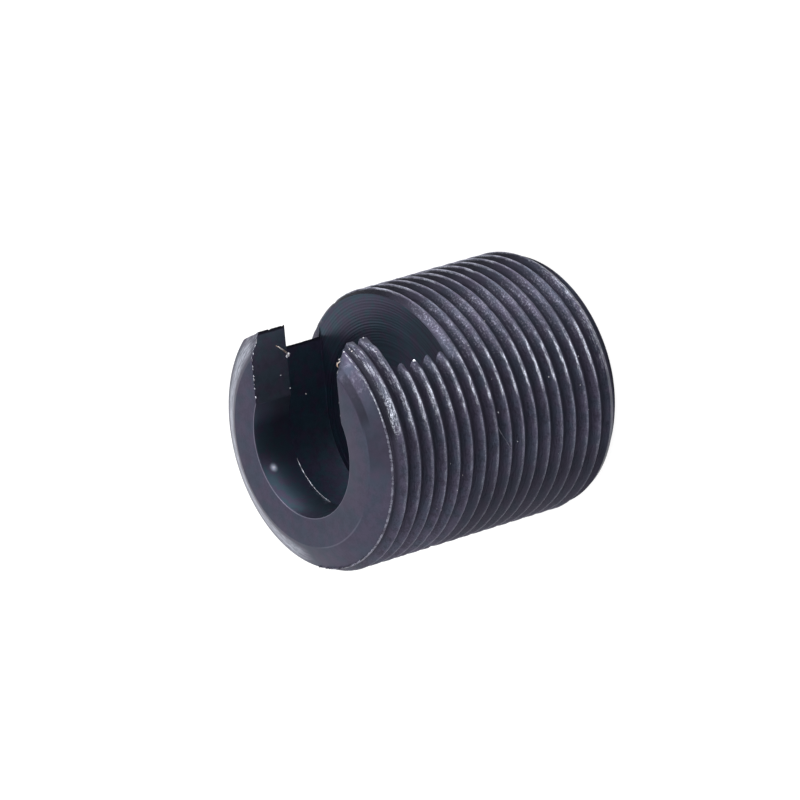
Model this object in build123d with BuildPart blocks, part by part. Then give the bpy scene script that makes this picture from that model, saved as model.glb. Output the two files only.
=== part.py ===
from build123d import *
import math
import os

# An adjusting screw: a solid steel stud with a fine right-hand thread from end to end, and a
# T-slot in its working end that hooks over the flanged head of a rod.
#
# Frame, in millimetres: the origin is the centre of the plain end, +Z runs along the screw to
# the slotted end, and +X is the side on which the T-slot opens through the thread.

# Thread: 16 mm nominal, 1 mm pitch. The groove is a plain V as deep as a rounded 60 degree root,
# which opens its angle a little.
crest_radius = 7.9
thread_pitch = 1.0
thread_angle = 70.0
crest_width = 0.24
groove_height_on_x = 0.378    # bottom of the lowest groove above the plain end, on the +X side
groove_overrun = 0.1          # how far the cutting profile stands out past the crests
cut_start_angle = 137.0       # the cut begins here, in the air just below the plain end

# Body
length = 18.0
plain_end_radius = 7.45       # the thread runs out through the plain end
plain_end_taper = 1.0         # axial length of the shallow cone from that end to the crests
land_radius = 6.1             # outer edge of the flat ring on the slotted end
lead_in = 1.0                 # axial length of the chamfer from that ring to the crests

# T-slot: a bored and slotted front plate with a wider pocket behind it
plate_thickness = 2.7
bore_radius = 4.35
slot_width = 7.8
pocket_width = 11.7
pocket_depth = 6.85           # from the slotted face to the pocket's back wall

# Worked out from the dimensions above
groove_mouth = thread_pitch - crest_width
groove_depth = groove_mouth / 2 / math.tan(math.radians(thread_angle / 2))
root_radius = crest_radius - groove_depth
outer_reach = crest_radius + groove_overrun
cut_start = groove_height_on_x + thread_pitch * (cut_start_angle / 360 - 1)
cut_height = length + 2 * thread_pitch
pocket_back = length - pocket_depth
plate_back = length - plate_thickness

# One continuous helical V groove, cut as a swept profile. Past the crest radius the profile goes
# straight out, so neighbouring turns never meet.
groove_path = Helix(
    pitch=thread_pitch,
    height=cut_height,
    radius=root_radius,
    center=(0, 0, cut_start),
)
with BuildPart() as thread_groove:
    with BuildSketch(Plane.XZ):
        with BuildLine():
            Polyline(
                (root_radius, cut_start),
                (crest_radius, cut_start - groove_mouth / 2),
                (outer_reach, cut_start - groove_mouth / 2),
                (outer_reach, cut_start + groove_mouth / 2),
                (crest_radius, cut_start + groove_mouth / 2),
                close=True,
            )
        make_face()
    sweep(path=groove_path, is_frenet=True)

with BuildPart() as adjusting_screw:
    # Turned blank: plain end taper, crest cylinder, long lead-in chamfer, flat front ring
    with BuildSketch(Plane.XZ):
        with BuildLine():
            Polyline(
                (0, 0),
                (plain_end_radius, 0),
                (crest_radius, plain_end_taper),
                (crest_radius, length - lead_in),
                (land_radius, length),
                (0, length),
                close=True,
            )
        make_face()
    revolve(axis=Axis.Z)

    # Thread
    add(thread_groove.part, rotation=(0, 0, cut_start_angle), mode=Mode.SUBTRACT)

    # Bore through the front plate
    with BuildSketch(Plane.XY.offset(plate_back)):
        Circle(bore_radius)
    extrude(amount=plate_thickness, mode=Mode.SUBTRACT)

    # Neck slot: straight walls from the bore out through the rim on the +X side
    with BuildSketch(Plane.XY.offset(plate_back)):
        Rectangle(outer_reach, slot_width, align=(Align.MIN, Align.CENTER))
    extrude(amount=plate_thickness, mode=Mode.SUBTRACT)

    # Pocket behind the plate: round about the screw's axis, open on the +X side
    with BuildSketch(Plane.XY.offset(pocket_back)):
        Circle(pocket_width / 2)
        Rectangle(outer_reach, pocket_width, align=(Align.MIN, Align.CENTER))
    extrude(amount=plate_back - pocket_back, mode=Mode.SUBTRACT)

adjusting_screw.part.label = "adjusting_screw"

os.makedirs("parts", exist_ok=True)
export_step(adjusting_screw.part, "parts/adjusting_screw.step")
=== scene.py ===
"""Dresses the adjusting screw and stands it in a plain studio.

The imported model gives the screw's place and size. The skin built here is the same
one-piece solid in finer form: a rounded thread profile, eased edges, tool marks, and the
small burrs that the slot cutter left. Everything is in metres, in the screw's own frame:
the origin is the centre of the plain end, +Z runs to the slotted end, and the T-slot
opens on the +X side.
"""

import logging
import math
from dataclasses import dataclass, field
from enum import Enum

import bmesh
import bpy
import numpy as np
from mathutils import Matrix, Vector


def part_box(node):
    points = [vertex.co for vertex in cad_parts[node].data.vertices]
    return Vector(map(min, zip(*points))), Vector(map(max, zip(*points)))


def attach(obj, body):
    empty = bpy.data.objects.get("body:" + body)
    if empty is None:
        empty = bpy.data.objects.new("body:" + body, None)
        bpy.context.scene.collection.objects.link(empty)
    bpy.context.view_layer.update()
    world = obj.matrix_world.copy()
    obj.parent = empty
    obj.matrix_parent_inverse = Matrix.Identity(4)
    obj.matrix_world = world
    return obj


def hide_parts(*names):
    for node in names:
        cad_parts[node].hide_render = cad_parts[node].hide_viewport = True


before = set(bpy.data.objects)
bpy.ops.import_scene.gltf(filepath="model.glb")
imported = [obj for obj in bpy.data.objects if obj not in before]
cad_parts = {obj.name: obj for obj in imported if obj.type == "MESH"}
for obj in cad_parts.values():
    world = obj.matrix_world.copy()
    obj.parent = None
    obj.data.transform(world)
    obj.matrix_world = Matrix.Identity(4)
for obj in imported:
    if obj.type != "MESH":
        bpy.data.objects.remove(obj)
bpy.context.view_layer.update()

NODE = "adjusting_screw"
BODY = "root"
MM = 0.001

log = logging.getLogger("adjusting_screw")

Point = tuple[float, float, float]
Colour = tuple[float, float, float]


# ---------------------------------------------------------------------------
# Mesh helpers
# ---------------------------------------------------------------------------


class Cut(Enum):
    """How one closed mesh acts on another."""

    AWAY = "DIFFERENCE"
    COMMON = "INTERSECT"


class Side(Enum):
    """The two sides of the T-slot."""

    NEAR = -1
    FAR = 1


def new_mesh_object(name: str, points: np.ndarray, faces: list[tuple[int, ...]]) -> bpy.types.Object:
    """Makes a mesh object and links it to the scene.

    Args:
        name: The object's name.
        points: One row of x, y, z for each vertex.
        faces: Vertex indices of each face, counter-clockwise from outside.

    Returns:
        The new object, at the origin.
    """
    mesh = bpy.data.meshes.new(name)
    mesh.from_pydata([tuple(p) for p in points], [], faces)
    mesh.validate()
    mesh.update()
    thing = bpy.data.objects.new(name, mesh)
    bpy.context.scene.collection.objects.link(thing)
    return thing


def settle_modifiers(thing: bpy.types.Object) -> None:
    """Replaces an object's mesh with the result of its modifiers.

    Args:
        thing: The object whose modifiers are applied and removed.
    """
    bpy.context.view_layer.update()
    graph = bpy.context.evaluated_depsgraph_get()
    result = bpy.data.meshes.new_from_object(thing.evaluated_get(graph))
    old = thing.data
    thing.modifiers.clear()
    thing.data = result
    bpy.data.meshes.remove(old)


def weld(thing: bpy.types.Object, gap: float) -> None:
    """Joins vertices that almost meet.

    Args:
        thing: The object whose mesh is cleaned.
        gap: Largest distance that is closed.
    """
    work = bmesh.new()
    work.from_mesh(thing.data)
    bmesh.ops.remove_doubles(work, verts=work.verts, dist=gap)
    bmesh.ops.dissolve_degenerate(work, edges=work.edges, dist=gap / 4)
    work.to_mesh(thing.data)
    work.free()


def combine(base: bpy.types.Object, tool: bpy.types.Object, cut: Cut) -> None:
    """Cuts one closed mesh with another and deletes the tool.

    Args:
        base: The object that keeps the result.
        tool: The object that cuts it.
        cut: Whether the tool is taken away or the common part is kept.
    """
    modifier = base.modifiers.new("cut", "BOOLEAN")
    modifier.operation = cut.value
    modifier.solver = "EXACT"
    modifier.object = tool
    settle_modifiers(base)
    bpy.data.objects.remove(tool)


def tube(name: str, rings: list[list[Point]]) -> bpy.types.Object:
    """Skins a stack of level rings round the Z axis and closes it with a fan at each end.

    Args:
        name: The object's name.
        rings: Rings with equal numbers of points, counter-clockwise, from bottom to top.

    Returns:
        The closed solid.
    """
    count = len(rings[0])
    points = [p for ring in rings for p in ring]
    low = len(points)
    points += [(0.0, 0.0, rings[0][0][2]), (0.0, 0.0, rings[-1][0][2])]
    faces: list[tuple[int, ...]] = []
    for i in range(count):
        j = (i + 1) % count
        faces += [(k + i, k + j, k + count + j, k + count + i) for k in range(0, low - count, count)]
        faces += [(low, j, i), (low + 1, low - count + i, low - count + j)]
    return new_mesh_object(name, np.array(points), faces)


def prism(name: str, outline: list[tuple[float, float]], low: float, high: float) -> bpy.types.Object:
    """Makes a closed upright prism.

    Args:
        name: The object's name.
        outline: Corner points in the XY plane, counter-clockwise.
        low: Height of the lower face.
        high: Height of the upper face.

    Returns:
        The prism.
    """
    return tube(name, [[(x, y, z) for x, y in outline] for z in (low, high)])


def lathe(name: str, profile: list[tuple[float, float]], sides: int) -> bpy.types.Object:
    """Turns a profile about the Z axis into a closed solid.

    Args:
        name: The object's name.
        profile: Radius and height of each corner from bottom to top, without the axis.
        sides: How many flats stand for the circle.

    Returns:
        The turned solid.
    """
    turns = [math.tau * i / sides for i in range(sides)]
    return tube(name, [[(r * math.cos(a), r * math.sin(a), z) for a in turns] for r, z in profile])


# ---------------------------------------------------------------------------
# Sizes, in millimetres
# ---------------------------------------------------------------------------


@dataclass(frozen=True)
class ThreadSizes:
    """The thread's rounded profile.

    Attributes:
        crest_radius: Outer radius of the crests.
        pitch: Rise of one turn.
        depth: From crest to root.
        crest_half: Half of the rounded crest's width.
        root_half: Half of the rounded root's width.
        groove_on_x: Height of the lowest groove's middle on the +X side.
    """

    crest_radius: float
    pitch: float = 1.0
    depth: float = 0.62
    crest_half: float = 0.075
    root_half: float = 0.10
    groove_on_x: float = 0.378

    def radius_at(self, angle: float, height: float) -> float:
        """Gives the thread's radius at one place.

        Args:
            angle: Angle about the axis from +X, in radians.
            height: Height above the plain end.

        Returns:
            The radius of the rounded profile there.
        """
        rise = (height - self.groove_on_x - self.pitch * angle / math.tau) % self.pitch
        steps = self.profile() + [(self.pitch, self.crest_radius - self.depth)]
        return float(np.interp(rise, [dz for dz, _ in steps], [r for _, r in steps]))

    def profile(self) -> list[tuple[float, float]]:
        """Gives one pitch of the profile, from the middle of a root to just before the next.

        Returns:
            Pairs of height above the root's middle and radius.
        """
        root = self.crest_radius - self.depth
        half = self.pitch / 2
        rising = [
            (0.0, root),
            (0.6 * self.root_half, root + 0.012),
            (self.root_half, root + 0.05),
            (0.5 * (self.root_half + half - self.crest_half), self.crest_radius - 0.5 * self.depth),
            (half - self.crest_half, self.crest_radius - 0.045),
            (half - 0.5 * self.crest_half, self.crest_radius - 0.012),
        ]
        falling = [(self.pitch - dz, r) for dz, r in reversed(rising[1:])]
        return rising + [(half, self.crest_radius)] + falling


@dataclass(frozen=True)
class BodySizes:
    """The turned and milled form, apart from the thread.

    Attributes:
        length: From the plain end to the slotted face.
        plain_radius: Radius of the plain end.
        plain_taper: Axial length of the shallow cone from that end to the crests.
        land_radius: Outer edge of the flat ring on the slotted end.
        lead_in: Axial length of the chamfer outside that ring.
        bore_radius: Radius of the bore through the front plate.
        slot_half: Half of the neck slot's width.
        pocket_half: Half of the pocket's width, and the radius of its bottom.
        plate: Thickness of the front plate.
        pocket_depth: From the slotted face to the pocket's back wall.
        edge: Width of the eased edges.
        cutter_radius: Radius of the ring that the slot cutter left on the pocket's back wall.
        cutter_step: How deep that ring is.
    """

    length: float
    plain_radius: float = 7.45
    plain_taper: float = 1.0
    land_radius: float = 6.1
    lead_in: float = 1.0
    bore_radius: float = 4.35
    slot_half: float = 3.9
    pocket_half: float = 5.85
    plate: float = 2.7
    pocket_depth: float = 6.85
    edge: float = 0.06
    cutter_radius: float = 5.5
    cutter_step: float = 0.035


@dataclass(frozen=True)
class BrokenCrest:
    """Crests that the milling cutter broke down beside one cut wall.

    Attributes:
        side: Which side of the opening the wall is on.
        half: How far the wall is from the middle of the opening.
        low: Height at which the wall begins.
        high: Height at which it ends.
        radius: Radius that is left of the crests at the wall.
        reach: How far from the wall the crests are whole again.
        ragged: How uneven the broken crests are.
        over: How far past the wall, into the opening, the rule still holds.
    """

    side: Side
    half: float
    low: float
    high: float
    radius: float
    reach: float
    ragged: float
    over: float = 0.1

    def lowered(self, angle: np.ndarray, z: np.ndarray, full: float, uneven: np.ndarray) -> np.ndarray:
        """Gives the largest radius that is left at each point.

        Args:
            angle: Angles about the axis.
            z: Heights.
            full: Radius of a whole crest.
            uneven: Random values about zero, which count most at the wall.

        Returns:
            The limit of the radius, infinite where nothing is broken.
        """
        sideways = self.side.value * np.sin(angle)
        gap = (self.radius * sideways - self.half) / self.reach
        share = np.clip(gap, 0.0, 1.0)
        limit = self.radius + (full - self.radius) * share ** 1.5 + self.ragged * uneven * (1.0 - share)
        beside = (full * sideways > self.half - self.over) & (gap < 1.0)
        here = (np.cos(angle) > 0) & (z > self.low) & (z <= self.high) & beside
        return np.where(here, limit, np.inf)


# ---------------------------------------------------------------------------
# Finishes
# ---------------------------------------------------------------------------


class Nodes:
    """A short way to write a material's node tree."""

    def __init__(self, name: str) -> None:
        """Starts an empty node material.

        Args:
            name: The material's name.
        """
        self.material = bpy.data.materials.new(name)
        self.material.use_nodes = True
        self.tree = self.material.node_tree
        self.tree.nodes.clear()
        self.shader = self.tree.nodes.new("ShaderNodeBsdfPrincipled")
        output = self.tree.nodes.new("ShaderNodeOutputMaterial")
        self.tree.links.new(self.shader.outputs["BSDF"], output.inputs["Surface"])

    def link(self, value, socket: bpy.types.NodeSocket) -> None:
        """Connects an output, or sets a plain value, on an input socket.

        Args:
            value: An output socket, a number or a colour.
            socket: The input that receives it.
        """
        if isinstance(value, bpy.types.NodeSocket):
            self.tree.links.new(value, socket)
        else:
            socket.default_value = value

    def position(self) -> bpy.types.NodeSocket:
        """Gives the surface point in millimetres."""
        source = self.tree.nodes.new("ShaderNodeTexCoord")
        scale = self.tree.nodes.new("ShaderNodeVectorMath")
        scale.operation = "SCALE"
        scale.inputs["Scale"].default_value = 1 / MM
        self.tree.links.new(source.outputs["Object"], scale.inputs[0])
        return scale.outputs["Vector"]

    def stretched(self, vector: bpy.types.NodeSocket, factors: Point) -> bpy.types.NodeSocket:
        """Multiplies a vector by three factors."""
        node = self.tree.nodes.new("ShaderNodeVectorMath")
        node.operation = "MULTIPLY"
        self.tree.links.new(vector, node.inputs[0])
        node.inputs[1].default_value = factors
        return node.outputs["Vector"]

    def noise(self, vector: bpy.types.NodeSocket, scale: float, detail: float = 4.0,
              rough: float = 0.55) -> bpy.types.NodeSocket:
        """Gives fractal noise between about 0 and 1.

        Args:
            vector: Where the noise is read.
            scale: Waves in one unit of the vector.
            detail: How many finer layers are added.
            rough: How strong the finer layers are.

        Returns:
            The noise value.
        """
        node = self.tree.nodes.new("ShaderNodeTexNoise")
        node.inputs["Scale"].default_value = scale
        node.inputs["Detail"].default_value = detail
        node.inputs["Roughness"].default_value = rough
        self.tree.links.new(vector, node.inputs["Vector"])
        return node.outputs["Fac"]

    def math(self, operation: str, first, second=0.0, clamp: bool = False) -> bpy.types.NodeSocket:
        """Does arithmetic on two values.

        Args:
            operation: The Math node's operation.
            first: A socket or number.
            second: A socket or number.
            clamp: Whether the result is kept between 0 and 1.

        Returns:
            The result.
        """
        node = self.tree.nodes.new("ShaderNodeMath")
        node.operation = operation
        node.use_clamp = clamp
        self.link(first, node.inputs[0])
        self.link(second, node.inputs[1])
        return node.outputs["Value"]

    def without(self, value: bpy.types.NodeSocket) -> bpy.types.NodeSocket:
        """Turns 0 into 1 and 1 into 0."""
        return self.math("SUBTRACT", 1.0, value)

    def step(self, value: bpy.types.NodeSocket, low: float, high: float) -> bpy.types.NodeSocket:
        """Rises smoothly from 0 at low to 1 at high."""
        node = self.tree.nodes.new("ShaderNodeMapRange")
        node.interpolation_type = "SMOOTHSTEP"
        self.tree.links.new(value, node.inputs["Value"])
        node.inputs["From Min"].default_value = low
        node.inputs["From Max"].default_value = high
        return node.outputs["Result"]

    def spread(self, value: bpy.types.NodeSocket, low: float, high: float) -> bpy.types.NodeSocket:
        """Maps 0 to 1 onto low to high."""
        node = self.tree.nodes.new("ShaderNodeMapRange")
        self.tree.links.new(value, node.inputs["Value"])
        node.inputs["To Min"].default_value = low
        node.inputs["To Max"].default_value = high
        return node.outputs["Result"]

    def blend(self, amount: bpy.types.NodeSocket, first, second) -> bpy.types.NodeSocket:
        """Mixes two colours.

        Args:
            amount: 0 gives the first colour and 1 the second.
            first: A colour or colour socket.
            second: A colour or colour socket.

        Returns:
            The mixed colour.
        """
        node = self.tree.nodes.new("ShaderNodeMix")
        node.data_type = "RGBA"
        self.tree.links.new(amount, node.inputs["Factor"])
        sockets = [s for s in node.inputs if s.type == "RGBA"]
        for value, socket in zip((first, second), sockets):
            self.link(value if isinstance(value, bpy.types.NodeSocket) else (*value, 1.0), socket)
        return [s for s in node.outputs if s.type == "RGBA"][0]

    def split(self, vector: bpy.types.NodeSocket) -> tuple[bpy.types.NodeSocket, ...]:
        """Gives a vector's x, y and z."""
        node = self.tree.nodes.new("ShaderNodeSeparateXYZ")
        self.tree.links.new(vector, node.inputs["Vector"])
        return tuple(node.outputs)

    def join(self, x, y, z) -> bpy.types.NodeSocket:
        """Makes a vector from three values."""
        node = self.tree.nodes.new("ShaderNodeCombineXYZ")
        for value, socket in zip((x, y, z), node.inputs):
            self.link(value, socket)
        return node.outputs["Vector"]

    def radius(self, vector: bpy.types.NodeSocket) -> bpy.types.NodeSocket:
        """Gives the distance from the screw's axis."""
        flat = self.stretched(vector, (1.0, 1.0, 0.0))
        node = self.tree.nodes.new("ShaderNodeVectorMath")
        node.operation = "LENGTH"
        self.tree.links.new(flat, node.inputs[0])
        return node.outputs["Value"]

    def angle(self, vector: bpy.types.NodeSocket) -> bpy.types.NodeSocket:
        """Gives the angle about the axis from +X, between -180 and 180 degrees."""
        x, y, _ = self.split(vector)
        return self.math("MULTIPLY", self.math("ARCTAN2", y, x), math.degrees(1.0))

    def window(self, value: bpy.types.NodeSocket, low: float, high: float,
               soft: float) -> bpy.types.NodeSocket:
        """Is 1 between low and high and falls off to 0 over a soft edge."""
        opened = self.step(value, low - soft, low + soft)
        closed = self.step(value, high - soft, high + soft)
        return self.math("SUBTRACT", opened, closed, clamp=True)

    def upward(self) -> bpy.types.NodeSocket:
        """Gives how far the surface faces up along the screw."""
        source = self.tree.nodes.new("ShaderNodeTexCoord")
        return self.split(source.outputs["Normal"])[2]

    def far_from(self, place: bpy.types.NodeSocket, spot: Point) -> bpy.types.NodeSocket:
        """Measures how far a place is from one spot."""
        node = self.tree.nodes.new("ShaderNodeVectorMath")
        node.operation = "DISTANCE"
        self.tree.links.new(place, node.inputs[0])
        node.inputs[1].default_value = spot
        return node.outputs["Value"]

    def product(self, *values) -> bpy.types.NodeSocket:
        """Multiplies several values.

        Args:
            *values: Sockets or numbers.

        Returns:
            Their product.
        """
        result = values[0]
        for value in values[1:]:
            result = self.math("MULTIPLY", result, value)
        return result

    def largest(self, *values) -> bpy.types.NodeSocket:
        """Gives the largest of several values.

        Args:
            *values: Sockets or numbers.

        Returns:
            The largest.
        """
        result = values[0]
        for value in values[1:]:
            result = self.math("MAXIMUM", result, value)
        return result

    def bump(self, height: bpy.types.NodeSocket, strength: float, distance: float) -> None:
        """Raises and lowers the surface a little.

        Args:
            height: The relief, about 0 to 1.
            strength: How much of it counts.
            distance: Its depth in metres.
        """
        node = self.tree.nodes.new("ShaderNodeBump")
        node.inputs["Strength"].default_value = strength
        node.inputs["Distance"].default_value = distance
        self.tree.links.new(height, node.inputs["Height"])
        self.tree.links.new(node.outputs["Normal"], self.shader.inputs["Normal"])


@dataclass(frozen=True)
class BlackOxide:
    """Blackened steel: near black, violet outside and teal inside, brighter in places where the oxide has
    thinned, with painted shade in the thread roots, bore and pocket, and painted highlights, sheen and one
    glint on the lit crests, flanks and bore.

    Attributes:
        violet: The oxide's main tint.
        teal: The tint of its cooler patches.
        inner: The teal tint inside the T-slot.
        inner_violet: The violet tint inside the T-slot.
        grime_and_shade: The darkest oxide.
        worn_and_sheen: Colour where the oxide is thin.
        burnish_and_highlight: Colour where rubbing has polished the flanks.
        glint: Colour of the one small polished spot in the bore.
        glint_middle: Middle of that spot.
        metallic: How metallic the surface is.
        roughness: Lowest and highest roughness.
    """

    violet: Colour = (0.087, 0.078, 0.124)
    teal: Colour = (0.070, 0.080, 0.120)
    inner: Colour = (0.078, 0.130, 0.178)
    inner_violet: Colour = (0.112, 0.104, 0.172)
    grime_and_shade: Colour = (0.017, 0.017, 0.026)
    # worn: Colour where the oxide is thin, also used as painted sheen on the crests and in the bore.
    worn_and_sheen: Colour = (0.33, 0.33, 0.43)
    burnish_and_highlight: Colour = (0.82, 0.86, 0.99)
    # glint: Colour of the one painted glint, a soft bright spot in the bore.
    glint: Colour = (0.74, 0.80, 1.0)
    # polished: Middle of that glint.
    glint_middle: Point = (-2.04, 3.85, 17.17)
    metallic: float = 0.88
    roughness: tuple[float, float] = (0.34, 0.58)

    def material(self, body: BodySizes, thread: ThreadSizes) -> bpy.types.Material:
        """Builds the node material.

        Args:
            body: Sizes that say where the flat faces lie.
            thread: Sizes that say where the crests lie.

        Returns:
            The material.
        """
        n = Nodes("black_oxide")
        place = n.position()
        _, y, height = n.split(place)
        radius = n.radius(place)
        turn = n.angle(place)
        full, top = thread.crest_radius, body.length

        # Where each kind of surface lies
        cone = n.math("DIVIDE", n.math("SUBTRACT", radius, body.land_radius),
                      (full - body.land_radius) / body.lead_in)
        below_cone = n.math("SUBTRACT", n.math("SUBTRACT", top, height), cone)
        back = n.math("COMPARE", height, top - body.pocket_depth)
        back.node.inputs[2].default_value = 0.08
        back = n.product(back, n.step(n.upward(), 0.95, 0.99))
        threaded = n.product(n.step(radius, full - 0.78, full - 0.66), n.step(below_cone, 0.02, 0.08),
                             n.without(back))
        inside = n.product(n.without(n.step(radius, full - 0.80, full - 0.70)),
                           n.without(n.step(height, top - 0.10, top - 0.04)),
                           n.step(below_cone, 0.02, 0.08), n.step(height, 0.1, 0.2))
        inside = n.largest(inside, back)
        on_cone = n.product(n.without(n.step(below_cone, 0.02, 0.08)),
                            n.step(radius, body.land_radius + 0.02, body.land_radius + 0.10))
        in_plate = n.step(height, top - body.plate - 0.02, top - body.plate + 0.02)
        slot_wall = n.product(inside, in_plate,
                              n.step(radius, body.bore_radius + 0.05, body.bore_radius + 0.15))
        wound = n.math("SUBTRACT", n.math("SUBTRACT", height, thread.groove_on_x),
                       n.product(turn, thread.pitch / 360.0))
        phase = n.math("FRACT", n.math("DIVIDE", wound, thread.pitch))
        front_flank = n.product(threaded, n.window(phase, 0.56, 0.96, 0.05))

        # Oxide tint and dirt, darkened further by painted shade
        patches = n.step(n.noise(place, 0.9, 3.0), 0.40, 0.64)
        tint = n.blend(patches, self.violet, self.teal)
        pools = n.step(n.noise(place, 1.3, 4.0, 0.6), 0.42, 0.58)
        tint = n.blend(inside, tint, n.blend(pools, self.inner_violet, self.inner))
        grain = n.noise(place, 7.0, 5.0, 0.72)
        cloud = n.noise(place, 1.6, 3.0)
        soiled = n.math("ADD", n.product(grain, 0.6), n.product(cloud, 0.4))
        dark = n.product(n.without(n.step(soiled, 0.40, 0.58)), n.spread(threaded, 0.20, 0.52))
        # Painted shade: the wall of the bore inside the slot is darkened.
        bore_wall = n.without(n.step(radius, body.bore_radius + 0.02, body.bore_radius + 0.08))
        bore = n.product(inside, bore_wall, 0.36)
        # Painted shade in the first groove below the lead-in chamfer, on the near side.
        gutter = n.product(threaded, n.window(below_cone, 0.03, 0.34, 0.04),
                           n.window(turn, -84.0, -30.0, 8.0),
                           n.without(n.step(radius, full - 0.36, full - 0.20)), 0.92)
        shaded = n.product(threaded, n.window(turn, -32.0, 40.0, 8.0),
                           n.without(n.step(radius, full - 0.12, full - 0.04)),
                           n.spread(n.window(turn, -6.0, 48.0, 6.0), 0.68, 0.92))
        # Painted shade on the flanks beside the roots, on the near side of the turns by the slotted end.
        lower_flank = n.product(threaded, n.window(turn, -90.0, -44.0, 8.0), n.step(height, 10.5, 12.5),
                                n.without(n.window(phase, 0.08, 0.76, 0.06)), 0.60)
        # Painted shade in the thread roots.
        root = n.product(threaded, n.without(n.step(radius, full - 0.62, full - 0.16)), 0.68)
        # Painted shade on the underside of the thread, on the turns towards the plain end.
        under = n.product(threaded, n.window(turn, -160.0, -108.0, 14.0),
                          n.without(n.step(height, 10.0, 12.5)), 0.66)
        # Painted shade on the pocket's back wall inside the cutter ring.
        disc = n.without(n.step(radius, body.cutter_radius - 0.1, body.cutter_radius + 0.1))
        inner_disc = n.product(back, 0.86, disc)
        shadow_strip = n.product(n.without(n.step(below_cone, 0.02, 0.08)),
                                 n.window(turn, -74.0, -39.0, 9.0), n.spread(cloud, 0.8, 1.0),
                                 n.window(radius, body.land_radius - 0.02, body.land_radius + 0.52, 0.09))
        # Painted shade on the -Y half of the pocket's back wall.
        right_half = n.product(back, n.step(n.product(y, -1.0), -2.0, 5.0), 0.76)
        # Painted shade on the chamfer beside the near horn, in mottled patches.
        near_cone = n.product(on_cone, n.window(turn, -96.0, -40.0, 12.0),
                              n.spread(cloud, 0.30, 0.70))
        # Dirt and the painted shade masks are joined here; the whole back wall of the pocket also gets
        # painted shade.
        dark = n.largest(dark, root, under, bore, gutter, shaded, lower_flank,
                         n.product(back, 0.44), right_half, n.product(inner_disc, 0.60),
                         n.product(shadow_strip, 0.95), near_cone)
        ring_tone = n.noise(n.join(radius, 0.0, 0.0), 5.0, 3.0, 0.7)
        dark = n.math("ADD", dark, n.product(back, n.spread(ring_tone, -0.45, 0.45)), clamp=True)
        # Darkens the oxide tint towards the darkest colour, by dirt and by painted shade.
        oxide = n.blend(dark, tint, self.grime_and_shade)

        # Thinned oxide and scuffs, with painted highlights, sheen and a glint
        along = n.stretched(place, (1.0, 1.0, 7.0))
        streaks = n.noise(along, 1.6, 5.0, 0.7)
        broken = n.step(streaks, 0.40, 0.66)
        speckle = n.step(n.noise(place, 9.0, 3.0, 0.6), 0.50, 0.66)
        sparkle = n.step(n.noise(place, 13.0, 2.0, 0.6), 0.42, 0.60)
        # Crest lines: worn crests, brightened further on the upper side as painted highlight.
        crest = n.product(n.step(radius, full - 0.085, full - 0.02), n.spread(sparkle, 0.45, 1.30))
        upper = n.window(turn, -88.0, 30.0, 10.0)
        crest_line = n.product(crest, n.spread(broken, 0.30, 1.0), n.spread(upper, 0.16, 0.50),
                               n.spread(n.window(turn, -52.0, -18.0, 6.0), 1.0, 0.25))
        # Painted sheen along the crests on the upper right side.
        edge_line = n.product(n.step(radius, full - 0.07, full - 0.02), n.spread(broken, 0.30, 1.0),
                              n.window(turn, -8.0, 60.0, 8.0))
        lengthwise = n.join(n.product(turn, 0.10), n.product(radius, 4.0),
                            n.product(wound, 4.0))
        scuffed = n.step(n.noise(lengthwise, 1.7, 4.0, 0.7), 0.36, 0.64)
        # Torn flanks, brightened only on the lit side: real tearing with a painted highlight.
        torn = n.product(front_flank, n.window(turn, -56.0, -24.0, 9.0), n.spread(speckle, 0.15, 1.0),
                         n.step(radius, full - 0.55, full - 0.30), n.spread(scuffed, 0.25, 1.15),
                         n.spread(n.step(height, 14.8, 15.6), 1.0, 0.60))
        mottled = n.step(n.noise(place, 5.0, 4.0, 0.7), 0.46, 0.60)
        horn_patch = n.product(on_cone, n.window(turn, -58.0, -36.0, 5.0), n.step(cloud, 0.38, 0.62),
                               n.without(shadow_strip), n.spread(mottled, 0.0, 0.30))
        # Painted sheen on the far chamfer rim.
        far_rim = n.product(on_cone, n.window(turn, 36.0, 168.0, 10.0),
                            n.window(radius, body.land_radius + 0.45, full - 0.38, 0.28),
                            n.spread(scuffed, 0.16, 0.56))
        edges = n.product(n.window(radius, body.bore_radius, body.bore_radius + 0.05, 0.02),
                          n.step(height, top - 0.05, top - 0.02), 0.4)
        land_edge = n.product(n.window(radius, body.land_radius - 0.02, body.land_radius + 0.06, 0.02),
                              n.step(height, top - 0.08, top - 0.04),
                              n.window(turn, -172.0, -128.0, 8.0), 0.18)
        bore_sheen = n.product(inside, in_plate, n.window(turn, 56.0, 78.0, 7.0), 0.28)
        # Painted glint: a soft bright spot in the bore.
        away = n.step(n.far_from(place, self.glint_middle), 0.03, 0.40)
        glint_spot = n.product(inside, n.without(away))
        # Thinned oxide on edges and crests, with painted sheen and painted highlights among them.
        wear_and_sheen = n.largest(crest_line, edge_line, torn, horn_patch, edges, land_edge, bore_sheen,
                         n.product(slot_wall, 0.20))
        # Rubbed flanks of the first turns, brightest where the light falls: real rubbing with a painted
        # highlight.
        first_turn = n.step(height, 16.3, 16.5)
        streak = n.largest(n.window(phase, 0.47, 0.66, 0.04),
                           n.product(first_turn, n.window(phase, 0.56, 0.78, 0.04), 1.3))
        rubbed_and_highlit = n.product(n.window(turn, -77.0, -60.0, 7.0), n.step(height, 10.2, 13.2), streak, threaded,
                           n.spread(broken, 0.0, 0.85), n.spread(sparkle, 0.1, 1.1))
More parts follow.
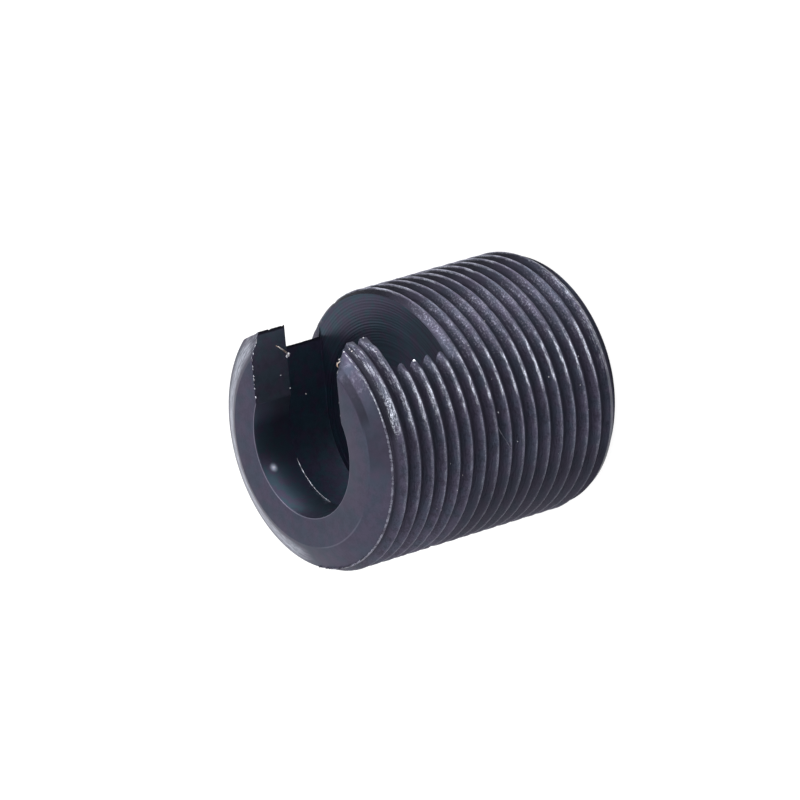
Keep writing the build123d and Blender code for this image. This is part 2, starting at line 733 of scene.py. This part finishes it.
        # Scuffs on the near horn's flanks, brightened as painted highlight.
        horn_streaks = n.product(front_flank, n.step(height, 14.9, 15.3), n.window(turn, -60.0, -34.0, 4.0),
                                 n.step(scuffed, 0.45, 0.90), n.spread(sparkle, 0.2, 1.0),
                                 n.step(radius, full - 0.50, full - 0.30), 0.50)
        # Painted highlight: a thin bright line on the slotted-end side of each crest, strongest on the lit
        # side.
        crest_edge = n.product(threaded, n.window(phase, 0.505, 0.62, 0.02), n.spread(sparkle, 0.50, 1.35),
                               n.step(radius, full - 0.16, full - 0.05))
        reach = n.largest(n.product(n.window(turn, -76.0, -55.0, 6.0), 1.2),
                          n.product(n.window(turn, -118.0, -20.0, 10.0), 0.11),
                          n.product(n.window(turn, -12.0, 60.0, 6.0), 0.36))
        bright_line = n.product(crest_edge, reach, n.spread(broken, 0.05, 0.95))
        # Frayed last crest by the plain end, brightened as painted highlight.
        frayed_and_highlit = n.product(n.window(turn, -76.0, -10.0, 8.0), n.window(height, 0.15, 0.95, 0.10),
                           n.step(radius, full - 0.50, full - 0.35), n.spread(sparkle, 0.3, 1.0),
                           n.step(n.noise(lengthwise, 3.2, 3.0), 0.50, 0.62), 0.60)
        # The rubbed patch and the painted highlights are joined here.
        rubbed_and_highlit = n.largest(rubbed_and_highlit, bright_line, far_rim, frayed_and_highlit, horn_streaks)
        colour = n.blend(wear_and_sheen, oxide, self.worn_and_sheen)
        colour = n.blend(rubbed_and_highlit, colour, self.burnish_and_highlight)
        colour = n.blend(n.math("POWER", glint_spot, 1.7), colour, self.glint)
        n.link(colour, n.shader.inputs["Base Color"])
        n.shader.inputs["Metallic"].default_value = self.metallic
        low, high = self.roughness
        n.link(n.math("ADD", n.spread(grain, low, high), n.product(inside, -0.10)),
               n.shader.inputs["Roughness"])

        # Relief
        rings = n.math("SINE", n.product(radius, math.tau / 0.17))
        marks = n.product(rings, back, n.spread(cloud, 0.05, 0.40))
        rough = n.product(grain, n.spread(threaded, 0.25, 1.0))
        hollows = n.math("ADD", n.product(speckle, 0.35), n.product(scuffed, 0.45))
        pits = n.product(threaded, hollows)
        n.bump(n.math("ADD", n.math("ADD", rough, pits), marks), 0.6, 0.02 * MM)
        return n.material


@dataclass(frozen=True)
class BareMetal:
    """Fresh bright steel, where a burr or a chip has no oxide.

    Attributes:
        name: The material's name.
        warm: Colour of its warmer patches.
        cool: Colour of its cooler patches.
        roughness: How rough it is.
    """

    name: str
    warm: Colour
    cool: Colour
    roughness: float = 0.35

    def material(self) -> bpy.types.Material:
        """Builds the node material."""
        n = Nodes(self.name)
        mix = n.step(n.noise(n.position(), 3.0, 3.0), 0.40, 0.60)
        n.link(n.blend(mix, self.warm, self.cool), n.shader.inputs["Base Color"])
        n.shader.inputs["Metallic"].default_value = 0.9
        n.shader.inputs["Roughness"].default_value = self.roughness
        return n.material


@dataclass(frozen=True)
class PaleFloor:
    """A plain near-white floor."""

    colour: Colour = (0.25, 0.25, 0.25)
    glow: float = 0.90

    def material(self) -> bpy.types.Material:
        """Builds the node material."""
        n = Nodes("pale_floor")
        soft = n.noise(n.position(), 0.004, 2.0)
        n.link(n.blend(soft, self.colour, tuple(0.99 * c for c in self.colour)),
               n.shader.inputs["Base Color"])
        n.shader.inputs["Roughness"].default_value = 0.9
        n.shader.inputs["Specular IOR Level"].default_value = 0.1
        n.shader.inputs["Emission Color"].default_value = (1.0, 1.0, 1.0, 1.0)
        n.shader.inputs["Emission Strength"].default_value = self.glow
        return n.material


# ---------------------------------------------------------------------------
# The screw
# ---------------------------------------------------------------------------


@dataclass
class ScrewSkin:
    """The one-piece screw: threaded, chamfered, bored and T-slotted.

    Attributes:
        body: Sizes of the turned and milled form.
        thread: Sizes of the thread.
        finish: The blackened surface.
        steps: Points round one turn of the thread.
        sides: Flats round the chamfers.
        flat_area: Faces larger than this, in square millimetres, are plane.
        below_neck: How far below the neck slot its broken crests begin.
        weld_gap: Points closer together than this become one.
        sharp_angle: Edges that turn more than this, in degrees, stay sharp.
        seed: Start of the random draws in crest_wear.
    """

    body: BodySizes
    thread: ThreadSizes
    finish: BlackOxide = field(default_factory=BlackOxide)
    steps: int = 320
    sides: int = 240
    flat_area: float = 0.9
    below_neck: float = 0.6
    weld_gap: float = 0.002
    sharp_angle: float = 38.0
    seed: int = 7

    def threaded_bar(self) -> bpy.types.Object:
        """Builds a threaded bar that stands out past both ends.

        Returns:
            A closed mesh with one continuous right-hand thread.
        """
        profile = self.thread.profile()
        turns = math.ceil(self.body.length / self.thread.pitch) + 4
        start = self.thread.groove_on_x - 2 * self.thread.pitch
        columns = turns * self.steps + 1
        rows = len(profile)
        step = np.arange(columns)
        angle = step * math.tau / self.steps
        rise = start + self.thread.pitch * step / self.steps
        radii = np.empty((columns, rows))
        heights = np.empty((columns, rows))
        for k, (dz, r) in enumerate(profile):
            radii[:, k] = r
            heights[:, k] = rise + dz
        radii += self.crest_wear(radii, heights, angle)
        points = np.stack([radii * np.cos(angle)[:, None], radii * np.sin(angle)[:, None], heights],
                          axis=2).reshape(-1, 3)
        index = np.arange(columns * rows).reshape(columns, rows)
        faces: list[tuple[int, ...]] = []
        for i in range(columns - 1):
            for k in range(rows - 1):
                faces.append((index[i, k], index[i + 1, k], index[i + 1, k + 1], index[i, k + 1]))
            if i + self.steps + 1 < columns:
                above, beyond = index[i + self.steps, 0], index[i + self.steps + 1, 0]
                faces.append((index[i, rows - 1], index[i + 1, rows - 1], beyond, above))
        last = columns - 1 - self.steps
        first_rim = [index[i, 0] for i in range(self.steps + 1)] + \
            [index[0, k] for k in range(rows - 1, 0, -1)]
        last_rim = [index[i, rows - 1] for i in range(last, columns)] + \
            [index[columns - 1, k] for k in range(rows - 2, -1, -1)]
        low = len(points)
        high = low + 1
        points = np.vstack([points, (0.0, 0.0, start - self.thread.pitch),
                            (0.0, 0.0, rise[-1] + 2 * self.thread.pitch)])
        for rim, centre, flip in ((first_rim, low, True), (last_rim, high, False)):
            for a, b in zip(rim, rim[1:] + rim[:1]):
                faces.append((centre, b, a) if flip else (centre, a, b))
        return new_mesh_object("threaded_bar", points, [tuple(int(v) for v in f) for f in faces])

    def broken_crests(self) -> list[BrokenCrest]:
        """Lists the four walls of the T-slot that cut through the thread."""
        b = self.body
        neck, floor = b.length - b.plate, b.length - b.pocket_depth
        return [
            BrokenCrest(Side.NEAR, b.slot_half, neck - self.below_neck, b.length, 7.57, 1.0, 0.06),
            BrokenCrest(Side.FAR, b.slot_half, neck - self.below_neck, b.length, 7.31, 1.4, 0.03),
            BrokenCrest(Side.NEAR, b.pocket_half, floor, neck, 7.68, 0.5, 0.06),
            BrokenCrest(Side.FAR, b.pocket_half, floor, neck, 7.26, 1.1, 0.01),
        ]

    def crest_wear(self, radii: np.ndarray, heights: np.ndarray, angle: np.ndarray) -> np.ndarray:
        """Gives the small changes of radius that cutting, wearing and handling leave.

        Args:
            radii: Radius of every point, one row for each step along the thread.
            heights: Height of every point.
            angle: Angle of each row.

        Returns:
            What is added to each radius, never above zero.
        """
        draw = np.random.default_rng(self.seed)
        full = self.thread.crest_radius
        count = radii.shape[0]
        depth = (radii - (full - self.thread.depth)) / self.thread.depth
        crest = np.clip((depth - 0.75) / 0.25, 0.0, 1.0)
        ragged = np.abs(draw.normal(0.0, 0.010, count))
        nicks = np.where(draw.random(count) < 0.012, draw.uniform(0.03, 0.10, count), 0.0)
        smooth = np.convolve(ragged + nicks, (0.25, 0.5, 0.25), mode="same")[:, None] * crest
        turn = np.degrees(angle)[:, None] % 360.0
        torn = np.clip(1.0 - np.abs(turn - 322.0) / 26.0, 0.0, 1.0)
        flank = np.abs(draw.normal(0.0, 1.0, radii.shape)) * (0.003 + 0.014 * torn)
        uneven = np.convolve(draw.normal(0.0, 1.0, count), (0.3, 0.4, 0.3), mode="same")[:, None]
        limit = np.full(radii.shape, np.inf)
        for edge in self.broken_crests():
            limit = np.minimum(limit, edge.lowered(angle[:, None], heights, full, uneven))
        return np.minimum(-smooth - flank * np.clip(4 * depth, 0.0, 1.0), limit - radii)

    def envelope(self) -> bpy.types.Object:
        """Builds the chamfered, bored and slotted form that the thread is cut down to.

        Returns:
            A closed mesh, wider than the crests so that only the thread shapes its side.
        """
        b = self.body
        crest = self.thread.crest_radius
        spare = 0.5
        taper = b.plain_taper / (crest - b.plain_radius)
        lead = b.lead_in / (crest - b.land_radius)
        profile = [
            (b.plain_radius, 0.0),
            (crest + spare, b.plain_taper + spare * taper),
            (crest + spare, b.length - b.lead_in - spare * lead),
            (b.land_radius, b.length),
        ]
        form = lathe("envelope", profile, self.sides)
        reach = crest + 2.0
        combine(form, prism("pocket", self.keyhole(b.pocket_half, b.pocket_half, reach),
                            b.length - b.pocket_depth, b.length - b.plate), Cut.AWAY)
        combine(form, prism("neck", self.keyhole(b.bore_radius, b.slot_half, reach),
                            b.length - b.plate - 0.5, b.length + 1.0), Cut.AWAY)
        ease = form.modifiers.new("ease", "BEVEL")
        ease.width = b.edge
        ease.segments = 2
        ease.limit_method = "ANGLE"
        ease.angle_limit = math.radians(25)
        settle_modifiers(form)
        back = b.length - b.pocket_depth
        combine(form, lathe("cutter_mark", [(b.cutter_radius, back - b.cutter_step),
                                            (b.cutter_radius, back + 0.5)], 180), Cut.AWAY)
        return form

    def keyhole(self, radius: float, half: float, reach: float) -> list[tuple[float, float]]:
        """Outlines a round hole with a straight slot out to the +X side.

        Args:
            radius: The round part's radius.
            half: Half of the slot's width.
            reach: How far out the slot runs.

        Returns:
            The outline's corners, counter-clockwise.
        """
        opening = math.asin(min(1.0, half / radius))
        count = self.sides // 2
        arc = [opening + (math.tau - 2 * opening) * i / count for i in range(count + 1)]
        return [(reach, half)] + [(radius * math.cos(a), radius * math.sin(a)) for a in arc] + \
            [(reach, -half)]

    def build(self) -> bpy.types.Object:
        """Builds and dresses the screw.

        Returns:
            The finished piece, in metres.
        """
        skin = self.threaded_bar()
        combine(skin, self.envelope(), Cut.COMMON)
        skin.name = "screw_skin"
        skin.data.name = "screw_skin"
        weld(skin, self.weld_gap)
        skin.data.set_sharp_from_angle(angle=math.radians(self.sharp_angle))
        for polygon in skin.data.polygons:
            polygon.use_smooth = polygon.area < self.flat_area
        skin.data.transform(Matrix.Scale(MM, 4))
        skin.data.materials.clear()
        skin.data.materials.append(self.finish.material(self.body, self.thread))
        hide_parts(NODE)
        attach(skin, BODY)
        log.info("%s: %d faces", skin.name, len(skin.data.polygons))
        return skin


# ---------------------------------------------------------------------------
# Burrs and chips
# ---------------------------------------------------------------------------


@dataclass
class Shapes:
    """Closed shapes that end up in one mesh.

    Attributes:
        points: Their vertices.
        faces: Their faces.
    """

    points: list[tuple[float, ...]] = field(default_factory=list)
    faces: list[tuple[int, ...]] = field(default_factory=list)

    def add(self, points: np.ndarray, faces: list[tuple[int, ...]]) -> None:
        """Adds one shape.

        Args:
            points: Its vertices.
            faces: Its faces, numbered from zero.
        """
        first = len(self.points)
        self.points += [tuple(float(v) for v in p) for p in points]
        self.faces += [tuple(first + k for k in f) for f in faces]

    def ridge(self, path: np.ndarray, lean: np.ndarray, width: float, heights: np.ndarray) -> None:
        """Adds a sharp ridge along a path.

        Args:
            path: Points along its foot.
            lean: Direction in which it stands at each point.
            width: Width of its foot.
            heights: Its height at each point.
        """
        lean = lean / np.linalg.norm(lean, axis=1, keepdims=True)
        side = np.cross(np.gradient(path, axis=0), lean)
        side /= np.linalg.norm(side, axis=1, keepdims=True)
        sunk = path - 0.03 * lean
        rings = np.stack([sunk - side * width / 2, sunk + side * width / 2,
                          path + lean * heights[:, None]], axis=1)
        self.sleeve(rings)

    def sleeve(self, rings: np.ndarray) -> None:
        """Adds a skin over a row of rings, closed at both ends.

        Args:
            rings: For each station, the points of its ring.
        """
        stations, count = rings.shape[:2]
        faces: list[tuple[int, ...]] = []
        for i in range(stations - 1):
            for k in range(count):
                a, b = i * count + k, i * count + (k + 1) % count
                faces.append((a, b, b + count, a + count))
        faces.append(tuple(range(count - 1, -1, -1)))
        faces.append(tuple((stations - 1) * count + k for k in range(count)))
        self.add(rings.reshape(-1, 3), faces)

    def wire(self, path: np.ndarray, radii: np.ndarray) -> None:
        """Adds a thin curl along a path.

        Args:
            path: Points along its middle.
            radii: Its radius at each point.
        """
        ahead = np.gradient(path, axis=0)
        ahead /= np.linalg.norm(ahead, axis=1, keepdims=True)
        across = np.cross(ahead, (0.31, 0.17, 0.93))
        across /= np.linalg.norm(across, axis=1, keepdims=True)
        other = np.cross(ahead, across)
        turns = math.tau * np.arange(6) / 6
        rings = path[:, None, :] + radii[:, None, None] * (
            np.cos(turns)[None, :, None] * across[:, None, :] +
            np.sin(turns)[None, :, None] * other[:, None, :])
        self.sleeve(rings)

    def grain(self, place: Point, size: float, draw: np.random.Generator) -> None:
        """Adds one uneven grain.

        Args:
            place: Its middle.
            size: About its radius.
            draw: Source of the unevenness.
        """
        corners = np.array([(1, 0, 0), (0, 1, 0), (-1, 0, 0), (0, -1, 0), (0, 0, 1), (0, 0, -1)], float)
        corners *= size * draw.uniform(0.6, 1.3, (6, 1))
        faces = [(k, (k + 1) % 4, 4) for k in range(4)] + [((k + 1) % 4, k, 5) for k in range(4)]
        self.add(corners + np.array(place), faces)

    def piece(self, name: str, material: bpy.types.Material) -> bpy.types.Object:
        """Makes the mesh object and sets it on the screw.

        Args:
            name: The piece's name.
            material: Its finish.

        Returns:
            The piece, in metres.
        """
        thing = new_mesh_object(name, np.array(self.points), self.faces)
        work = bmesh.new()
        work.from_mesh(thing.data)
        bmesh.ops.recalc_face_normals(work, faces=work.faces)
        work.to_mesh(thing.data)
        work.free()
        thing.data.transform(Matrix.Scale(MM, 4))
        thing.data.materials.append(material)
        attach(thing, BODY)
        log.info("%s: %d faces", name, len(self.faces))
        return thing


@dataclass
class CuttingTraces:
    """The burrs, curled chips and grains that machining left on the screw.

    Attributes:
        body: Sizes of the turned and milled form.
        thread: Sizes of the thread.
        step: Distance between a burr's teeth.
        seed: Start of the random draws.
    """

    body: BodySizes
    thread: ThreadSizes
    step: float = 0.07
    seed: int = 11

    def __post_init__(self) -> None:
        """Starts the random draws."""
        self.draw = np.random.default_rng(self.seed)

    def even(self, corners: list[Point], step: float) -> np.ndarray:
        """Spreads points evenly along a line through some corners.

        Args:
            corners: The corners.
            step: Distance between points.

        Returns:
            The points.
        """
        line = np.array(corners)
        run = np.concatenate([[0.0], np.cumsum(np.linalg.norm(np.diff(line, axis=0), axis=1))])
        at = np.linspace(0.0, run[-1], max(3, int(run[-1] / step) + 1))
        return np.stack([np.interp(at, run, line[:, k]) for k in range(3)], axis=1)

    def teeth(self, count: int, low: float, high: float, short: float = 0.25) -> np.ndarray:
        """Gives ragged heights that fall to nothing at both ends.

        Args:
            count: How many teeth there are.
            low: Least height.
            high: Greatest height.
            short: Share of teeth that are stubs.

        Returns:
            The heights.
        """
        heights = self.draw.uniform(low, high, count)
        heights *= np.where(self.draw.random(count) < short, 0.2, 1.0)
        ends = np.minimum(np.arange(count), np.arange(count)[::-1])
        return heights * np.clip(ends / 3.0, 0.0, 1.0)

    def cone_point(self, x: float, y: float) -> Point:
        """Gives the point of the land or the lead-in chamfer above a place in plan."""
        b = self.body
        slope = (self.thread.crest_radius - b.land_radius) / b.lead_in
        return (x, y, b.length - max(0.0, math.hypot(x, y) - b.land_radius) / slope)

    def slot_edge(self, shapes: Shapes, side: Side, low: float, high: float) -> None:
        """Adds the burr along one front edge of the neck slot.

        Args:
            shapes: Where it goes.
            side: Which edge.
            low: Least height of its teeth.
            high: Greatest height.
        """
        b = self.body
        start = math.sqrt(b.bore_radius ** 2 - b.slot_half ** 2) + 0.05
        land_end = math.sqrt(b.land_radius ** 2 - b.slot_half ** 2)
        tip = math.sqrt((self.thread.crest_radius - 0.75) ** 2 - b.slot_half ** 2)
        y = side.value * (b.slot_half + 0.03)
        path = self.even([self.cone_point(x, y) for x in (start, land_end, tip)], 1.2 * self.step)
        path[:, 2] -= 0.05
        lean = np.tile((0.0, -0.93 * side.value, 0.28), (len(path), 1))
        shapes.ridge(path, lean, 0.10, self.teeth(len(path), low, high, 0.55))

    def groove_edge(self, shapes: Shapes, turns: tuple[int, int], share: float = 1.0) -> None:
        """Adds the burr where the first thread groove runs out on the lead-in chamfer.

        Args:
            shapes: Where it goes.
            turns: Where it starts and ends, in degrees.
            share: Its size against the full burr.
        """
        b, t = self.body, self.thread
        slope = (t.crest_radius - b.land_radius) / b.lead_in
        flank = t.depth / (t.pitch / 2 - t.crest_half - t.root_half)
        last = 16
        path = []
        for turn in range(*turns):
            groove = t.groove_on_x + (last + turn / 360) * t.pitch
            inward = b.length - groove - t.root_half
            s = (t.crest_radius - t.depth - b.land_radius + flank * inward) / (slope + flank)
            r = b.land_radius + slope * s - 0.05
            a = math.radians(turn)
            path.append((r * math.cos(a), r * math.sin(a), b.length - (r - b.land_radius) / slope))
        points = self.even(path, self.step)
        out = points * (1.0, 1.0, 0.0)
        out /= np.linalg.norm(out, axis=1, keepdims=True)
        lean = out * 0.30 + np.array((0.0, 0.0, 0.95))
        heights = share * np.maximum(self.teeth(len(points), 0.07, 0.13), 0.02)
        shapes.ridge(points, lean, 0.15 * share, heights)

    def ring_edge(self, shapes: Shapes, radius: float, height: float, lean: tuple[float, float],
                  turns: tuple[float, float], high: float) -> None:
        """Adds a fine burr along part of a round edge.

        Args:
            shapes: Where it goes.
            radius: The edge's radius.
            height: Its height.
            lean: How far the burr leans outward and upward.
            turns: Where it starts and ends, in degrees.
            high: Greatest height of its teeth.
        """
        path = []
        for turn in np.arange(turns[0], turns[1], 1.0):
            a = math.radians(turn)
            path.append((radius * math.cos(a), radius * math.sin(a), height))
        points = self.even(path, self.step)
        out = points * (1.0, 1.0, 0.0) / radius
        shapes.ridge(points, out * lean[0] + np.array((0.0, 0.0, lean[1])), 0.035,
                     self.teeth(len(points), 0.4 * high, high, 0.4))

    def on_thread(self, turn: float, height: float) -> Point:
        """Gives the thread's surface at an angle in degrees and a height."""
        a = math.radians(turn)
        r = self.thread.radius_at(a, height)
        return (r * math.cos(a), r * math.sin(a), height)

    def burrs(self) -> bpy.types.Object:
        """Builds the burrs along the cut edges."""
        b = self.body
        shapes = Shapes()
        self.slot_edge(shapes, Side.FAR, 0.04, 0.16)
        self.slot_edge(shapes, Side.NEAR, 0.03, 0.09)
        plate_back = b.length - b.plate
        self.ring_edge(shapes, b.bore_radius - 0.01, plate_back + 0.03, (-0.8, -0.3), (116, 166), 0.025)
        self.ring_edge(shapes, b.bore_radius + 0.02, b.length - 0.03, (-0.9, 0.1), (112, 216), 0.02)
        return shapes.piece("slot_burrs", BareMetal("bare_edge", (0.25, 0.24, 0.27),
                                                    (0.62, 0.64, 0.72)).material())

    def thread_burr(self) -> bpy.types.Object:
        """Builds the blackened burr on the lead-in chamfer."""
        shapes = Shapes()
        self.groove_edge(shapes, (176, 290))
        return shapes.piece("chamfer_burr", BareMetal("worn_oxide", (0.09, 0.085, 0.12),
                                                      (0.22, 0.22, 0.28), 0.45).material())

    def horn_burr(self) -> bpy.types.Object:
        """Builds the brighter burr that runs up to the tip of the near horn."""
        shapes = Shapes()
        self.groove_edge(shapes, (286, 326), 0.6)
        return shapes.piece("horn_burr", BareMetal("rubbed_edge", (0.16, 0.16, 0.20),
                                                   (0.58, 0.60, 0.68), 0.40).material())

    def chips(self) -> bpy.types.Object:
        """Builds the two curled chips that hang in the slot."""
        shapes = Shapes()
        wall = self.body.slot_half
        curl = self.even([(5.10, wall + 0.01, 16.08), (5.00, wall - 0.05, 15.94),
                          (4.78, wall - 0.08, 15.66), (4.52, wall - 0.05, 15.38),
                          (4.40, wall + 0.01, 15.24)], 0.08)
        along = np.linspace(0, 1, len(curl))
        shapes.wire(curl, np.interp(along, (0, 0.3, 0.8, 1), (0.015, 0.045, 0.05, 0.03)))
        hook = self.even([(5.52, -wall - 0.02, 17.60), (5.38, -wall + 0.14, 17.72),
                          (5.20, -wall + 0.24, 17.66), (5.06, -wall + 0.26, 17.50)], 0.06)
        shapes.wire(hook, 0.045 * np.sin(np.linspace(0.6, 2.5, len(hook))) ** 0.5)
        return shapes.piece("curled_chips", BareMetal("bare_chip", (0.82, 0.58, 0.44),
                                                      (0.88, 0.80, 0.76)).material())

    def grains(self) -> bpy.types.Object:
        """Builds the bright grains that cling to the screw."""
        shapes = Shapes()
        b = self.body
        places = [
            ((4.40, b.slot_half, 15.20), 0.15), ((4.30, b.slot_half, 15.34), 0.10),
            ((3.28, b.slot_half, 15.92), 0.05), ((2.35, b.slot_half, 15.32), 0.05),
            # The grain in the bore at (-2.03, 3.82, 17.17) sits at the painted glint as its bright core.
            ((1.12, b.pocket_half, 12.65), 0.05), ((-2.03, 3.82, 17.17), 0.06),
            ((5.62, -b.slot_half, 17.66), 0.06), ((4.90, -b.pocket_half, 13.72), 0.12),
            ((6.02, -4.02, 17.36), 0.06), ((6.14, -4.22, 17.08), 0.07), ((6.04, -4.38, 17.06), 0.06),
            ((6.54, -4.12, 15.91), 0.07), ((5.84, -5.12, 15.88), 0.05),
        ]
        for turn, height, size in ((291, 2.1, 0.07), (292, 2.3, 0.04), (300, 4.45, 0.05), (302, 4.43, 0.04),
                                   (286, 4.9, 0.04), (277, 9.0, 0.05), (235, 12.9, 0.04), (248, 12.6, 0.03),
                                   (227, 10.9, 0.04), (318, 7.7, 0.04), (309, 9.8, 0.04), (334, 5.6, 0.04)):
            places.append((self.on_thread(turn, height), size))
        for _ in range(34):
            turn = self.draw.uniform(236.0, 338.0)
            height = self.draw.uniform(0.6, 14.8 if turn < 296.0 else 10.8)
            places.append((self.on_thread(turn, height), self.draw.uniform(0.018, 0.034)))
        for place, size in places:
            shapes.grain(place, size, self.draw)
        return shapes.piece("bright_grains", BareMetal("bare_grain", (0.80, 0.74, 0.74),
                                                       (0.82, 0.84, 0.92)).material())

    def fibre(self) -> bpy.types.Object:
        """Builds the fine fibre that lies across one thread groove."""
        shapes = Shapes()
        path = self.even([(1.50, -7.76, 9.68), (0.90, -7.84, 9.68), (0.37, -7.875, 9.64),
                          (-0.20, -7.88, 9.38), (-0.66, -7.86, 9.08), (-1.02, -7.83, 8.86),
                          (-1.27, -7.79, 8.66)], 0.12)
        shapes.wire(path, np.full(len(path), 0.012))
        return shapes.piece("stray_fibre", BareMetal("fibre_grey", (0.12, 0.12, 0.15),
                                                     (0.24, 0.24, 0.29), 0.6).material())

    def build(self) -> list[bpy.types.Object]:
        """Builds all the traces."""
        return [self.burrs(), self.thread_burr(), self.horn_burr(), self.chips(), self.grains(),
                self.fibre()]


# ---------------------------------------------------------------------------
# Studio
# ---------------------------------------------------------------------------


@dataclass(frozen=True)
class SoftBox:
    """A soft rectangular light.

    Attributes:
        name: The light's name.
        place: Where it hangs, in metres.
        size: Width and height, in metres.
        power: In watts.
        colour: The light's colour.
    """

    name: str
    place: Point
    size: tuple[float, float]
    power: float
    colour: Colour = (1.0, 1.0, 1.0)

    def hang(self, target: Point) -> None:
        """Hangs the light and aims it.

        Args:
            target: The point that it lights.
        """
        lamp = bpy.data.lights.new(self.name, "AREA")
        lamp.shape = "RECTANGLE"
        lamp.size, lamp.size_y = self.size
        lamp.energy = self.power
        lamp.color = self.colour
        holder = bpy.data.objects.new(self.name, lamp)
        holder.location = self.place
        holder.rotation_euler = (Vector(target) - Vector(self.place)).to_track_quat("-Z", "Y").to_euler()
        bpy.context.scene.collection.objects.link(holder)


@dataclass
class Studio:
    """Floor, lights and camera.

    Attributes:
        azimuth: Camera's direction, in degrees from -Y towards +X.
        elevation: Its height above the floor, in degrees.
        roll: How far it is turned about its own line of sight, in degrees.
        distance: From the aim point, in metres.
        aim: The point that it looks at, in metres.
        lens: Focal length for a 36 mm wide picture, in millimetres.
        surround: Brightness all round.
        dim_side: Direction of the studio's dim corner.
        dim_edge: Closeness to that direction at which the corner begins and is full.
        dimmed: Share of the brightness that is left there.
    """

    azimuth: float = 17.775
    elevation: float = 37.645
    roll: float = 106.466
    distance: float = 0.44188
    aim: Point = (0.000727, 0.000776, 0.009670)
    lens: float = 337.1
    surround: float = 0.9
    dim_side: Point = (0.56, 0.58, 0.59)
    dim_edge: tuple[float, float] = (0.72, 0.96)
    dimmed: float = 0.10

    def camera(self) -> None:
        """Sets up the camera."""
        lens = bpy.data.cameras.new("camera")
        lens.lens = self.lens
        lens.sensor_width = 36.0
        lens.clip_start = 0.01
        lens.clip_end = 10.0
        holder = bpy.data.objects.new("camera", lens)
        az, el = math.radians(self.azimuth), math.radians(self.elevation)
        out = Vector((math.sin(az) * math.cos(el), -math.cos(az) * math.cos(el), math.sin(el)))
        aim = Vector(self.aim)
        turn = (-out).to_track_quat("-Z", "Y").to_matrix().to_4x4()
        holder.matrix_world = Matrix.Translation(aim + out * self.distance) @ turn @ \
            Matrix.Rotation(math.radians(-self.roll), 4, "Z")
        bpy.context.scene.collection.objects.link(holder)
        bpy.context.scene.camera = holder

    def floor(self) -> None:
        """Lays the floor."""
        half = 3.0
        points = np.array([(-half, -half, 0), (half, -half, 0), (half, half, 0), (-half, half, 0)])
        floor = new_mesh_object("floor", points, [(0, 1, 2, 3)])
        floor.data.materials.append(PaleFloor().material())

    def lights(self) -> None:
        """Hangs the lights and sets the surrounding brightness."""
        world = bpy.data.worlds.new("studio")
        world.use_nodes = True
        nodes, links = world.node_tree.nodes, world.node_tree.links
        background = nodes["Background"]
        background.inputs["Color"].default_value = (1.0, 1.0, 1.0, 1.0)
        source = nodes.new("ShaderNodeTexCoord")
        toward = nodes.new("ShaderNodeVectorMath")
        toward.operation = "DOT_PRODUCT"
        toward.inputs[1].default_value = Vector(self.dim_side).normalized()
        fade = nodes.new("ShaderNodeMapRange")
        fade.interpolation_type = "SMOOTHSTEP"
        fade.inputs["From Min"].default_value, fade.inputs["From Max"].default_value = self.dim_edge
        fade.inputs["To Min"].default_value = self.surround
        fade.inputs["To Max"].default_value = self.surround * self.dimmed
        links.new(source.outputs["Generated"], toward.inputs[0])
        links.new(toward.outputs["Value"], fade.inputs["Value"])
        links.new(fade.outputs["Result"], background.inputs["Strength"])
        bpy.context.scene.world = world
        centre = (0.0, 0.0, 0.009)
        SoftBox("top_light", (0.126, 0.06, 0.27), (0.12, 0.12), 0.35).hang(centre)
        SoftBox("side_light", (0.25, 0.05, 0.05), (0.10, 0.10), 0.25).hang(centre)

    def build(self) -> None:
        """Builds the whole studio."""
        self.floor()
        self.lights()
        self.camera()
        bpy.context.scene.view_settings.view_transform = "Standard"


def main() -> None:
    """Builds the screw and the studio from the imported part's sizes."""
    logging.basicConfig(level=logging.INFO, format="%(message)s")
    low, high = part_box(NODE)
    thread = ThreadSizes(crest_radius=(high.x - low.x) / 2 / MM)
    body = BodySizes(length=(high.z - low.z) / MM)
    ScrewSkin(body, thread).build()
    CuttingTraces(body, thread).build()
    Studio().build()


if __name__ == "__main__":
    main()
